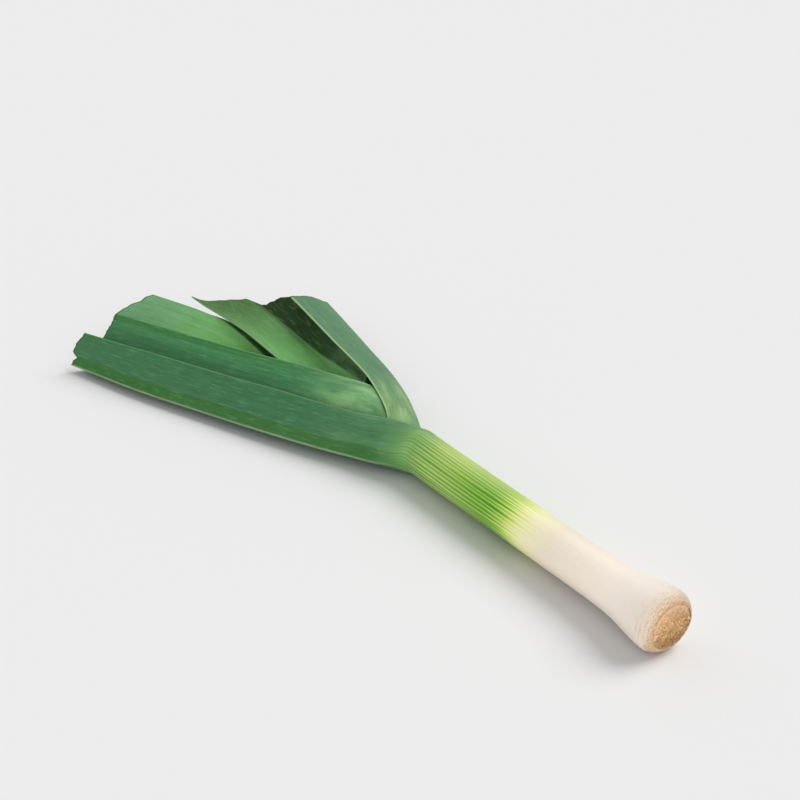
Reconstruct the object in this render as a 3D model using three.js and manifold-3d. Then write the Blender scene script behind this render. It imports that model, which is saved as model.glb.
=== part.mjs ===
// One trimmed leek lying on its side, as a fan of whole leaves around a short root plate.
// Units mm, +Z up. +X runs from the root plate to the leaf tips; the origin is the bottom centre of
// the bounding box. Every leaf is one solid: a closed sheath tube from the root plate to its throat,
// then an open blade folded along its keel. The sheaths nest like tubes and each blade leaves
// through the throat of the leaf outside it.
import * as THREE from "three";
import { mergeVertices } from "three/addons/utils/BufferGeometryUtils.js";
import Module from "manifold-3d";

const wasm = await Module();
wasm.setup();

// ---------------------------------------------------------------- driving dimensions
const LAYER_PITCH = 1.6; // radial step from one sheath to the next
const SHEATH_WALL = 1.1; // thickness of a sheath and of a blade at its keel
const MARGIN_WALL = 0.8; // thickness of a blade at its free margin
const THINNING = 25; // length past the throat over which a blade thins to its margin
const KEEL_INSET = 4.5; // most a sharp fold may move the inner crease inwards
const INNER_BASE = 5; // where the inner sheaths start, just behind the root plate

// shank centre line: x, y, z
const CENTRE_LINE = [
  [-5, 1.2, 19.9],
  [12, 1, 19.9],
  [60, 0.3, 18.4],
  [120, 0, 17.4],
  [180, 0, 16.9],
  [228, 0, 16.7],
  [300, 0, 17.4],
  [520, 0, 18],
];

// outer radius of the outermost sheath, from the bulb to the neck: x, r
const SHANK_RADIUS = [
  [-3.2, 15.9],
  [-1.6, 17.4],
  [0, 18.6],
  [2, 19.6],
  [5, 20.2],
  [9, 20.1],
  [14, 19.5],
  [24, 17.9],
  [36, 16],
  [50, 15.1],
  [68, 14.8],
  [84, 14.7],
  [150, 14.6],
  [228, 14.7],
  [600, 14.7],
];

// Each leaf: its layer from outside in, the side its keel points to (+1 is +Y), the keel's angle
// about the shank, its throat, and its blade as stations along X of
//   x, keel y z, upper margin y z, upper arch angle, lower margin y z, lower arch angle.
// The arch angle is how far a half turns from keel to margin; in the sheath it is a half circle.
// cut gives the trimmed end: across the blade from lower margin -1 to upper margin +1, x.
const LEAVES = [
  {
    name: "leaf_1_outermost",
    layer: 0,
    side: 1,
    keel: -28.125,
    base: -3.2,
    throat: 226,
    columns: 32,
    sheath: [-3.2, -1.6, 0, 2, 5, 9, 14, 24, 36, 50, 68, 110, 165, 205, 226],
    blade: [0.011, 0.024, 0.045, 0.07, 0.1, 0.15, 0.21, 0.29, 0.39, 0.5, 0.62, 0.74, 0.85, 0.93, 1],
    stations: [
      [228.5, 14.4, 10.5, -11.6, 25.9, 3, -14.8, 18.4, 2.8],
      [231, 15.6, 10.3, -9.5, 28.2, 2.85, -14.4, 13.6, 2.46],
      [236, 18.2, 9.9, -4.2, 30.9, 2.45, -11.2, 7, 1.8],
      [240, 20.5, 9.5, -1.8, 31.4, 2.25, -9, 4.2, 1.5],
      [250, 26.6, 8.8, 2.5, 31.5, 1.9, 0.5, 1.3, 1.05],
      [262, 32, 8.4, 8.5, 31, 1.5, 7, 1.15, 0.95],
      [275, 38.6, 8.1, 16, 30.6, 1.25, 11.5, 1.1, 0.8],
      [290, 45.5, 7.8, 22.8, 30.2, 1.05, 16, 1, 0.65],
      [325, 60.5, 7.3, 36.8, 29.2, 0.75, 31, 0.9, 0.5],
      [370, 78, 6.6, 56, 28.4, 0.5, 52, 0.9, 0.4],
      [425, 99, 6, 79, 27.8, 0.4, 76, 0.7, 0.32],
      [490, 118.5, 5.2, 105, 26.3, 0.35, 97, -0.4, 0.26],
    ],
    cut: [
      [-1, 474],
      [-0.4, 478],
      [0, 483.3],
      [0.12, 483],
      [0.26, 480.5],
      [0.38, 486],
      [0.5, 486.2],
      [0.62, 486],
      [0.8, 485.4],
      [1, 484],
    ],
    pleats: [
      [0.3, 0.07, 0.5],
      [0.66, 0.07, 0.25],
      [-0.5, 0.08, 0.2],
    ],
  },
  {
    name: "leaf_2_right_outer",
    layer: 1,
    side: -1,
    keel: 165,
    base: INNER_BASE,
    throat: 242,
    columns: 24,
    sheath: [INNER_BASE, 9, 14, 24, 36, 50, 68, 120, 190, 230, 242],
    blade: [0.005, 0.01, 0.02, 0.032, 0.05, 0.08, 0.12, 0.18, 0.26, 0.36, 0.48, 0.61, 0.75, 0.88, 1],
    stations: [
      [244, -13.5, 19.2, 13.25, 16.6, 2.98, 13.1, 12.6, 2.98],
      [246, -14.4, 17.9, 12.75, 21.2, 2.66, 13, 11.4, 2.7],
      [250, -16.6, 18.4, 10.6, 24.8, 2.28, 12.2, 9.4, 2.44],
      [256, -19.6, 19.1, 6.2, 28.4, 2.05, 10, 6.4, 2.25],
      [262, -22.4, 19.8, 2.2, 30.1, 1.8, 7.5, 4.2, 2],
      [270, -26, 20.4, -1.8, 31.2, 1.5, 3.5, 3.6, 1.7],
      [282, -31, 21, -6.6, 32, 1.25, -1, 3.2, 1.4],
      [310, -40, 21.5, -15, 33.8, 0.9, -11, 3, 0.9],
      [350, -50, 20.5, -20.8, 35.2, 0.6, -22, 2.6, 0.6],
      [395, -61, 19, -29, 36, 0.45, -33, 1.2, 0.45],
      [460, -77, 16, -40, 36, 0.35, -48, -0.7, 0.35],
    ],
    cut: [
      [-1, 436],
      [-0.5, 433],
      [0, 428],
      [0.5, 427],
      [1, 424],
    ],
    pleats: [
      [0.45, 0.08, 0.25],
      [-0.45, 0.08, 0.25],
    ],
  },
  {
    name: "leaf_3_left_inner",
    layer: 2,
    side: 1,
    keel: -20,
    base: INNER_BASE,
    throat: 266,
    columns: 24,
    sheath: [INNER_BASE, 9, 14, 24, 36, 50, 68, 120, 190, 245, 266],
    blade: [0.012, 0.026, 0.05, 0.09, 0.14, 0.2, 0.28, 0.38, 0.5, 0.63, 0.76, 0.88, 0.95, 1],
    stations: [
      [268, 11.4, 13.1, -11.2, 22.2, 2.95, -11.9, 18.6, 2.9],
      [271, 12.4, 13.2, -11.8, 24, 2.65, -12, 15.4, 2.5],
      [276, 13.8, 13.6, -12.6, 26.4, 2.3, -11.4, 10.2, 2.05],
      [290, 19.5, 14, -13, 29.8, 1.75, -9, 7.2, 1.4],
      [302, 24.2, 14, -9.4, 31, 1.45, -8, 5.6, 1.3],
      [325, 32.8, 13.7, 1.3, 31.2, 1.05, -5, 7, 1],
      [345, 40, 13.5, 9.8, 31, 0.8, -2.2, 10, 0.75],
      [390, 56, 13, 31, 30.5, 0.5, 4, 19.5, 0.5],
      [415, 65, 12.7, 42, 30.2, 0.42, 7.5, 23, 0.44],
      [440, 74, 12.5, 52.7, 30, 0.35, 13.4, 26, 0.4],
      [450, 77.6, 12.4, 57, 30, 0.34, 19.1, 27.7, 0.38],
      [460, 81.3, 12.3, 61.3, 30, 0.33, 24.2, 29.6, 0.36],
      [500, 96, 12, 78, 30, 0.3, 45.5, 34, 0.3],
    ],
    cut: [
      [-1, 491],
      [-0.93, 494.5],
      [-0.85, 495.5],
      [-0.75, 498],
      [-0.65, 500],
      [-0.5, 500.5],
      [-0.3, 494],
      [0, 486.5],
      [0.4, 486.5],
      [1, 489],
    ],
    pleats: [
      [0.5, 0.1, 0.3],
      [-0.35, 0.06, 0.25],
      [-0.66, 0.06, 0.4],
    ],
  },
  {
    name: "leaf_4_right_inner",
    layer: 3,
    side: -1,
    keel: 215,
    base: INNER_BASE,
    throat: 290,
    columns: 22,
    sheath: [INNER_BASE, 9, 14, 24, 36, 50, 68, 120, 200, 262, 282, 290],
    blade: [0.02, 0.05, 0.09, 0.14, 0.21, 0.3, 0.4, 0.52, 0.65, 0.78, 0.9, 1],
    stations: [
      [298, -9.7, 11.9, 1.5, 29, 2.4, 9.4, 19.4, 2.55],
      [306, -12, 11.6, -11.5, 30, 1.6, 10.6, 19.6, 2.25],
      [318, -15.2, 11.5, -25.5, 28.8, 0.9, 12.2, 20.4, 1.8],
      [352, -20.8, 11.6, -32, 27.6, 0.6, 14.8, 24.2, 0.9],
      [390, -24, 13, -38, 26.5, 0.4, 14.8, 27.8, 0.5],
      [415, -26.3, 14.1, -42, 26.8, 0.37, 14.4, 29, 0.38],
      [440, -28.5, 15, -46, 27, 0.35, 15.6, 29.7, 0.3],
      [462, -30.2, 15.5, -49, 27, 0.32, 16.8, 29, 0.3],
      [490, -32, 16, -53, 27, 0.3, 13.5, 25.2, 0.3],
    ],
    cut: [
      [-1, 482],
      [-0.93, 475.5],
      [-0.8, 472.5],
      [-0.4, 472],
      [-0.12, 470],
      [0, 456],
      [0.1, 453],
      [0.3, 452],
      [0.6, 448],
      [1, 437],
    ],
    pleats: [
      [-0.55, 0.07, 0.25],
      [0.5, 0.1, 0.2],
    ],
  },
];

// The youngest leaf is still rolled tight, so it is one solid spear: stations of
//   x, keel y z, far edge y z, arch angle of both faces.
const HEART = {
  name: "heart_leaf",
  layer: 4,
  base: INNER_BASE,
  opens: 282,
  columns: 16,
  rows: [INNER_BASE, 9, 14, 24, 36, 50, 68, 120, 200, 262, 282, 286, 290, 296, 302],
  stations: [
    [290, 7.9, 17.9, -8.3, 17.9, 3],
    [302, 6.6, 18.6, -8.6, 18.4, 2.7],
    [320, 3.6, 19.4, -9.4, 19.2, 2.3],
  ],
  end: [306, 312], // trimmed end, at the edges and at the middle
};

// Root plate: x, r from the domed face to the back; the trimmed root stubs stand on the face.
const PLATE = [
  [-4.9, 5.2],
  [-4.5, 9.4],
  [-3.9, 12.4],
  [-3.1, 14.2],
  [-1.6, 15.7],
  [0, 16.9],
  [2, 17.9],
  [4.6, 18.5],
];
const PLATE_SEGMENTS = 28;
const PLATE_DOME = -5.1;
const STUBS = 58;
const STUB_RADIUS = [0.65, 1.1];
const STUB_HEIGHT = [0.5, 1.5];
const STUB_SIDES = 5;
const STUB_SUNK = 1.6; // how deep a stub stands in the plate
const STUB_LEAN = 0.49; // outward lean at the rim, radians
const GOLDEN_ANGLE = 2.39996;
const STUB_FIELD = 12.2; // radius of the disc that carries roots

// Rest: the bulb's underside is pressed into a small flat at this height.
const FLAT_Z = 0;

// ---------------------------------------------------------------- curves
// Monotone cubic through the stations, one column at a time.
function tangents(xs, ys) {
  const n = xs.length;
  const d = [];
  for (let i = 0; i < n - 1; i++) d.push((ys[i + 1] - ys[i]) / (xs[i + 1] - xs[i]));
  const m = new Array(n).fill(0);
  m[0] = d[0];
  m[n - 1] = d[n - 2];
  for (let i = 1; i < n - 1; i++) {
    if (d[i - 1] * d[i] <= 0) continue;
    const h0 = xs[i] - xs[i - 1];
    const h1 = xs[i + 1] - xs[i];
    const w1 = 2 * h1 + h0;
    const w2 = h1 + 2 * h0;
    m[i] = (w1 + w2) / (w1 / d[i - 1] + w2 / d[i]);
  }
  return m;
}

function curve(table, column) {
  const xs = table.map((row) => row[0]);
  const ys = table.map((row) => row[column]);
  const m = tangents(xs, ys);
  return (x) => {
    let i = 0;
    while (i < xs.length - 2 && x >= xs[i + 1]) i++;
    const h = xs[i + 1] - xs[i];
    const t = Math.min(Math.max((x - xs[i]) / h, 0), 1);
    const t2 = t * t;
    const t3 = t2 * t;
    return (
      (2 * t3 - 3 * t2 + 1) * ys[i] +
      (t3 - 2 * t2 + t) * h * m[i] +
      (3 * t2 - 2 * t3) * ys[i + 1] +
      (t3 - t2) * h * m[i + 1]
    );
  };
}

function linear(table, u) {
  if (u <= table[0][0]) return table[0][1];
  for (let i = 1; i < table.length; i++) {
    const [a, va] = table[i - 1];
    const [b, vb] = table[i];
    if (u <= b) return va + ((vb - va) * (u - a)) / (b - a);
  }
  return table[table.length - 1][1];
}

const centreY = curve(CENTRE_LINE, 1);
const centreZ = curve(CENTRE_LINE, 2);
const shankRadius = curve(SHANK_RADIUS, 1);

const unit = (v) => {
  const l = Math.max(Math.hypot(v[0], v[1]), 1e-9);
  return [v[0] / l, v[1] / l];
};

// Point at fraction s of the circular arc from p to q that turns by phi, bulging to one side.
function arc(p, q, phi, side, s) {
  const turn = Math.max(phi, 0.02);
  const length = Math.hypot(q[0] - p[0], q[1] - p[1]);
  const a = unit([q[0] - p[0], q[1] - p[1]]);
  const n = [-a[1] * side, a[0] * side];
  const r = length / (2 * Math.sin(turn / 2));
  const along = r * (Math.sin(turn / 2) - Math.sin(turn / 2 - turn * s));
  const out = r * (Math.cos(turn / 2 - turn * s) - Math.cos(turn / 2));
  return [p[0] + a[0] * along + n[0] * out, p[1] + a[1] * along + n[1] * out];
}

// Tangent at the start of such an arc and the outward normal at its end.
function arcEnds(p, q, phi, side) {
  const a = unit([q[0] - p[0], q[1] - p[1]]);
  const n = [-a[1] * side, a[0] * side];
  const c = Math.cos(phi / 2);
  const k = Math.sin(phi / 2);
  return {
    start: [a[0] * c + n[0] * k, a[1] * c + n[1] * k],
    normal: [n[0] * c + a[0] * k, n[1] * c + a[1] * k],
  };
}

// ---------------------------------------------------------------- one leaf's cross-section
function sectionOf(leaf) {
  const angle = (leaf.keel * Math.PI) / 180;
  const toKeel = [Math.cos(angle), Math.sin(angle)];
  const ring = (x) => {
    const c = [centreY(x), centreZ(x)];
    const r = shankRadius(x) - LAYER_PITCH * leaf.layer;
    const keel = [c[0] + r * toKeel[0], c[1] + r * toKeel[1]];
    const seam = [c[0] - r * toKeel[0], c[1] - r * toKeel[1]];
    return { keel, upper: seam, turnUp: Math.PI, lower: seam, turnDown: Math.PI };
  };
  const t = ring(leaf.throat);
  const table = [
    [leaf.throat, ...t.keel, ...t.upper, Math.PI, ...t.lower, Math.PI],
    ...leaf.stations,
  ];
  const columns = [];
  for (let j = 1; j < 9; j++) columns.push(curve(table, j));
  const at = (x) => {
    if (x <= leaf.throat) return ring(x);
    const v = columns.map((f) => f(x));
    return {
      keel: [v[0], v[1]],
      upper: [v[2], v[3]],
      turnUp: v[4],
      lower: [v[5], v[6]],
      turnDown: v[7],
    };
  };
  // outward push of the lengthwise pleats, faded in past the throat
  const pleat = (x, u) => {
    const fade = Math.min(Math.max((x - leaf.throat - 20) / 60, 0), 1);
    let push = 0;
    for (const [centre, width, depth] of leaf.pleats) {
      push += depth * Math.exp(-(((u - centre) / width) ** 2));
    }
    return push * fade;
  };
  const outer = (x, u) => {
    const s = at(x);
    const p =
      u >= 0
        ? arc(s.keel, s.upper, s.turnUp, -leaf.side, u)
        : arc(s.keel, s.lower, s.turnDown, leaf.side, -u);
    return p;
  };
  const inner = (x, u) => {
    const s = at(x);
    const up = arcEnds(s.keel, s.upper, s.turnUp, -leaf.side);
    const down = arcEnds(s.keel, s.lower, s.turnDown, leaf.side);
    const d = [up.start[0] - down.start[0], up.start[1] - down.start[1]];
    const half = Math.max(Math.hypot(...d) / 2, 0.14);
    let b = unit([-d[1], d[0]]);
    const toMargins = [
      (s.upper[0] + s.lower[0]) / 2 - s.keel[0],
      (s.upper[1] + s.lower[1]) / 2 - s.keel[1],
    ];
    if (b[0] * toMargins[0] + b[1] * toMargins[1] < 0) b = [-b[0], -b[1]];
    const inset = Math.min(SHEATH_WALL / half, KEEL_INSET);
    const crease = [s.keel[0] + b[0] * inset, s.keel[1] + b[1] * inset];
    const thin = Math.min(Math.max((x - leaf.throat) / THINNING, 0), 1);
    const wall = SHEATH_WALL + (MARGIN_WALL - SHEATH_WALL) * thin;
    if (u >= 0) {
      const end = [s.upper[0] - up.normal[0] * wall, s.upper[1] - up.normal[1] * wall];
      return arc(crease, end, s.turnUp, -leaf.side, u);
    }
    const end = [s.lower[0] - down.normal[0] * wall, s.lower[1] - down.normal[1] * wall];
    return arc(crease, end, s.turnDown, leaf.side, -u);
  };
  // both faces share the pleat's push, so the blade keeps its thickness
  const pair = (x, u) => {
    const o = outer(x, u);
    const i = inner(x, u);
    const push = pleat(x, u);
    if (push === 0) return [o, i];
    const n = unit([o[0] - i[0], o[1] - i[1]]);
    const shift = (p) => [p[0] + n[0] * push, p[1] + n[1] * push];
    return [shift(o), shift(i)];
  };
  return { pair };
}

// ---------------------------------------------------------------- meshes
function solidGeometry(points, faces) {
  let volume = 0;
  const a = new THREE.Vector3();
  const b = new THREE.Vector3();
  const c = new THREE.Vector3();
  for (const [i, j, k] of faces) {
    a.fromArray(points[i]);
    b.fromArray(points[j]);
    c.fromArray(points[k]);
    volume += a.dot(b.cross(c)) / 6;
  }
  const flip = volume < 0;
  const index = [];
  for (const [i, j, k] of faces) index.push(i, flip ? k : j, flip ? j : k);
  const geometry = new THREE.BufferGeometry();
  geometry.setAttribute("position", new THREE.Float32BufferAttribute(points.flat(), 3));
  geometry.setIndex(index);
  return geometry;
}

function leafGeometry(leaf) {
  const { pair } = sectionOf(leaf);
  const n = leaf.columns;
  const points = [];
  const outer = [];
  const inner = [];
  const addRow = (xOf, closed) => {
    const o = [];
    const i = [];
    for (let k = 0; k < (closed ? n : n + 1); k++) {
      const u = -1 + (2 * k) / n;
      const x = xOf(u);
      const [po, pi] = pair(x, u);
      o.push(points.length);
      points.push([x, po[0], Math.max(po[1], FLAT_Z)]);
      i.push(points.length);
      points.push([x, pi[0], pi[1]]);
    }
    if (closed) {
      o.push(o[0]);
      i.push(i[0]);
    }
    outer.push(o);
    inner.push(i);
  };
  for (const x of leaf.sheath) addRow(() => x, true);
  for (const t of leaf.blade) {
    addRow((u) => leaf.throat + (linear(leaf.cut, u) - leaf.throat) * t, false);
  }
  const faces = [];
  const quad = (a, b, c, d) => faces.push([a, b, c], [a, c, d]);
  const last = outer.length - 1;
  const open = leaf.sheath.length - 1; // last closed row
  for (let j = 0; j < last; j++) {
    for (let k = 0; k < n; k++) {
      quad(outer[j][k], outer[j][k + 1], outer[j + 1][k + 1], outer[j + 1][k]);
      quad(inner[j][k + 1], inner[j][k], inner[j + 1][k], inner[j + 1][k + 1]);
    }
  }
  for (let k = 0; k < n; k++) {
    quad(outer[0][k + 1], outer[0][k], inner[0][k], inner[0][k + 1]);
    quad(outer[last][k], outer[last][k + 1], inner[last][k + 1], inner[last][k]);
  }
  for (let j = open; j < last; j++) {
    if (j === open) {
      faces.push([outer[j][0], outer[j + 1][0], inner[j + 1][0]]);
      faces.push([outer[j][0], inner[j + 1][0], inner[j][0]]);
      faces.push([outer[j][0], inner[j + 1][n], outer[j + 1][n]]);
      faces.push([outer[j][0], inner[j][0], inner[j + 1][n]]);
    } else {
      quad(outer[j][0], outer[j + 1][0], inner[j + 1][0], inner[j][0]);
      quad(inner[j][n], inner[j + 1][n], outer[j + 1][n], outer[j][n]);
    }
  }
  return solidGeometry(points, faces);
}

function heartGeometry(heart) {
  const n = heart.columns;
  const r0 = shankRadius(heart.opens) - LAYER_PITCH * heart.layer;
  const y0 = centreY(heart.opens);
  const z0 = centreZ(heart.opens);
  const table = [[heart.opens, y0 + r0, z0, y0 - r0, z0, Math.PI], ...heart.stations];
  const columns = [1, 2, 3, 4, 5].map((j) => curve(table, j));
  const at = (x) => {
    if (x > heart.opens) return columns.map((f) => f(x));
    const r = shankRadius(x) - LAYER_PITCH * heart.layer;
    return [centreY(x) + r, centreZ(x), centreY(x) - r, centreZ(x), Math.PI];
  };
  const points = [];
  const rings = [];
  const addRing = (xOf) => {
    const ring = [];
    for (let k = 0; k < n; k++) {
      const u = -1 + (2 * k) / n;
      const x = xOf(u);
      const [ky, kz, fy, fz, turn] = at(x);
      const p =
        u >= 0 ? arc([ky, kz], [fy, fz], turn, -1, u) : arc([ky, kz], [fy, fz], turn, 1, -u);
      ring.push(points.length);
      points.push([x, p[0], p[1]]);
    }
    rings.push(ring);
  };
  for (const x of heart.rows) addRing(() => x);
  const [edge, middle] = heart.end;
  addRing((u) => edge + (middle - edge) * (1 - Math.abs(Math.abs(u) * 2 - 1)));
  const faces = [];
  for (let j = 0; j < rings.length - 1; j++) {
    for (let k = 0; k < n; k++) {
      const q = (k + 1) % n;
      faces.push([rings[j][k], rings[j][q], rings[j + 1][q]]);
      faces.push([rings[j][k], rings[j + 1][q], rings[j + 1][k]]);
    }
  }
  const cap = (ring, flip) => {
    const sum = [0, 0, 0];
    for (const i of ring) for (let c = 0; c < 3; c++) sum[c] += points[i][c] / ring.length;
    const centre = points.length;
    points.push(sum);
    for (let k = 0; k < n; k++) {
      const q = (k + 1) % n;
      faces.push(flip ? [centre, ring[q], ring[k]] : [centre, ring[k], ring[q]]);
    }
  };
  cap(rings[0], true);
  cap(rings[rings.length - 1], false);
  return solidGeometry(points, faces);
}

function randomFrom(seed) {
  let s = seed >>> 0;
  return () => {
    s = (s + 0x6d2b79f5) >>> 0;
    let t = s;
    t = Math.imul(t ^ (t >>> 15), t | 1);
    t ^= t + Math.imul(t ^ (t >>> 7), t | 61);
    return ((t ^ (t >>> 14)) >>> 0) / 4294967296;
  };
}

function manifoldOf(geometry) {
  const bare = geometry.clone();
  bare.deleteAttribute("normal");
  bare.deleteAttribute("uv");
  const merged = mergeVertices(bare, 1e-4);
  const mesh = new wasm.Mesh({
    numProp: 3,
    vertProperties: new Float32Array(merged.attributes.position.array),
    triVerts: new Uint32Array(merged.index.array),
  });
  return new wasm.Manifold(mesh);
}

function plateGeometry() {
  const cy = centreY(-4);
  const cz = centreZ(-4);
  const points = [[PLATE_DOME, cy, cz]];
  for (const [x, r] of PLATE) {
    for (let k = 0; k < PLATE_SEGMENTS; k++) {
      const a = (2 * Math.PI * k) / PLATE_SEGMENTS;
      points.push([x, cy + r * Math.cos(a), cz + r * Math.sin(a)]);
    }
  }
  const back = points.length;
  points.push([PLATE[PLATE.length - 1][0], cy, cz]);
  const faces = [];
  const at = (ring, k) => 1 + ring * PLATE_SEGMENTS + (k % PLATE_SEGMENTS);
  for (let k = 0; k < PLATE_SEGMENTS; k++) {
    faces.push([0, at(0, k), at(0, k + 1)]);
    for (let j = 0; j < PLATE.length - 1; j++) {
      faces.push([at(j, k), at(j + 1, k), at(j + 1, k + 1)]);
      faces.push([at(j, k), at(j + 1, k + 1), at(j, k + 1)]);
    }
    faces.push([back, at(PLATE.length - 1, k + 1), at(PLATE.length - 1, k)]);
  }
  let plate = manifoldOf(solidGeometry(points, faces));
  const random = randomFrom(41);
  const face = curve(
    PLATE.filter(([, r]) => r < 15).map(([x, r]) => [r, x]),
    1,
  );
  const pick = ([lo, hi]) => lo + (hi - lo) * random();
  for (let i = 0; i < STUBS; i++) {
    const rho = STUB_FIELD * Math.sqrt((i + 0.5) / STUBS) * (0.97 + 0.06 * random());
    const turn = i * GOLDEN_ANGLE + 0.5 * random();
    const radius = pick(STUB_RADIUS);
    const height = pick(STUB_HEIGHT) + STUB_SUNK;
    const lean = (rho / STUB_FIELD) * STUB_LEAN + 0.1 * (random() - 0.5);
    const x = rho < PLATE[0][1] ? PLATE[0][0] : face(rho);
    const stub = new THREE.CylinderGeometry(0.86 * radius, 1.12 * radius, height, STUB_SIDES);
    stub.translate(0, height / 2 - STUB_SUNK, 0); // stands on +Y
    stub.rotateZ(Math.PI / 2 - lean); // lies on -X, leaning out
    stub.rotateX(turn);
    stub.translate(x, cy + rho * Math.cos(turn), cz + rho * Math.sin(turn));
    plate = plate.add(manifoldOf(stub));
  }
  const mesh = plate.getMesh();
  const geometry = new THREE.BufferGeometry();
  geometry.setAttribute("position", new THREE.BufferAttribute(mesh.vertProperties, 3));
  geometry.setIndex(new THREE.BufferAttribute(mesh.triVerts, 1));
  return geometry;
}

// ---------------------------------------------------------------- assembly
const material = (color, roughness) =>
  new THREE.MeshStandardMaterial({ color, roughness, side: THREE.DoubleSide });

const leek = new THREE.Group();
leek.name = "leek";

function addMesh(name, geometry, look) {
  geometry.computeVertexNormals();
  const mesh = new THREE.Mesh(geometry, look);
  mesh.name = name;
  leek.add(mesh);
}

for (const leaf of LEAVES) {
  const green = leaf.side > 0 ? 0x3f7a4c : 0x5f9a5a;
  addMesh(leaf.name, leafGeometry(leaf), material(green, 0.55));
}
addMesh(HEART.name, heartGeometry(HEART), material(0x8fb866, 0.5));
addMesh("root_plate", plateGeometry(), material(0xb98f5c, 0.9));

// bottom centre of the bounding box to the origin
const box = new THREE.Box3().setFromObject(leek);
const centre = box.getCenter(new THREE.Vector3());
for (const mesh of leek.children) mesh.geometry.translate(-centre.x, -centre.y, -box.min.z);

export default leek;
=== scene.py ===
"""A trimmed leek lying on a pale floor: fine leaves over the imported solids, materials, light and camera.

Every piece is built in millimetres in the leek's own frame (x from the root plate to the leaf tips, the
shank's centre line near y = 0, the floor at z = 0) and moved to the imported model's frame by new_object.
"""

import math

import bpy
import numpy as np
from mathutils import Matrix, Vector


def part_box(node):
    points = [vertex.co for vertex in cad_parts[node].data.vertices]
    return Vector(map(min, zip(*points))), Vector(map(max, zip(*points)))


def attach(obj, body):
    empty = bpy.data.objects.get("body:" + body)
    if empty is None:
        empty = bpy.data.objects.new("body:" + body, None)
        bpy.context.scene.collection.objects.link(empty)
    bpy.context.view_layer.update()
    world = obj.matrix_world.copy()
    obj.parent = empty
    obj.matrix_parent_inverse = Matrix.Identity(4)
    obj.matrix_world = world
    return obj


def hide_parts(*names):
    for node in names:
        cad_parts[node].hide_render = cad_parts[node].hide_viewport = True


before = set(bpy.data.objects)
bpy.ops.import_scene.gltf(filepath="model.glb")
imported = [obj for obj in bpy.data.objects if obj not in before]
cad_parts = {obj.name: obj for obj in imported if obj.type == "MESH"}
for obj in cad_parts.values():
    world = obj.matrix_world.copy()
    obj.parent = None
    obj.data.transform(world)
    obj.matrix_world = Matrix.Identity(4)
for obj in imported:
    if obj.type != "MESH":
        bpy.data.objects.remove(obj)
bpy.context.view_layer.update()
scene = bpy.context.scene

# ---------------------------------------------------------------- dimensions, mm
LAYER_PITCH = 1.6  # from one sheath's outer face to the next one's
SHEATH_WALL = 1.1
MARGIN_WALL = 0.8
THINNING = 25.0  # length past the throat over which the wall thins to that of the margins
KEEL_INSET = 4.5  # the most that the inner face's crease lies inside the keel
LEAST_TURN = 0.02  # radians; a flatter arc is drawn with this one
LEAST_SPREAD = 0.14  # keeps the crease near the keel where a blade is almost flat
INNER_FACE_HEIGHT = 0.35  # the least height of an inner face above the floor
OUTER_BASE = -3.2  # x where the outermost leaf starts, on the root plate's rim
RIM_END = 3.0  # x up to which that rim is uneven
INNER_BASE = 5.0  # x where the sheaths inside it start
INNER_STATIONS = [INNER_BASE, 9, 14, 24, 36, 50, 68]  # first rows of every inner sheath
NO_MARGIN = 99.0  # distance from a free margin, where there is none

# centre line of the shank: x, y, z
CENTRE_LINE = [
    [-5, 1.2, 19.9], [12, 1.0, 19.9], [60, 0.3, 18.4], [120, 0, 17.4],
    [180, 0, 16.9], [228, 0, 16.7], [300, 0, 17.4], [520, 0, 18.0],
]
# outer radius of the shank and the bulb: x, radius
SHANK_RADIUS = [
    [OUTER_BASE, 15.9], [-1.6, 17.4], [0, 18.6], [2, 19.6], [5, 20.2], [9, 20.1], [14, 19.5], [24, 17.9],
    [36, 16.0], [50, 15.1], [68, 14.8], [84, 14.7], [150, 14.6], [228, 14.7], [600, 14.7],
]

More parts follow.
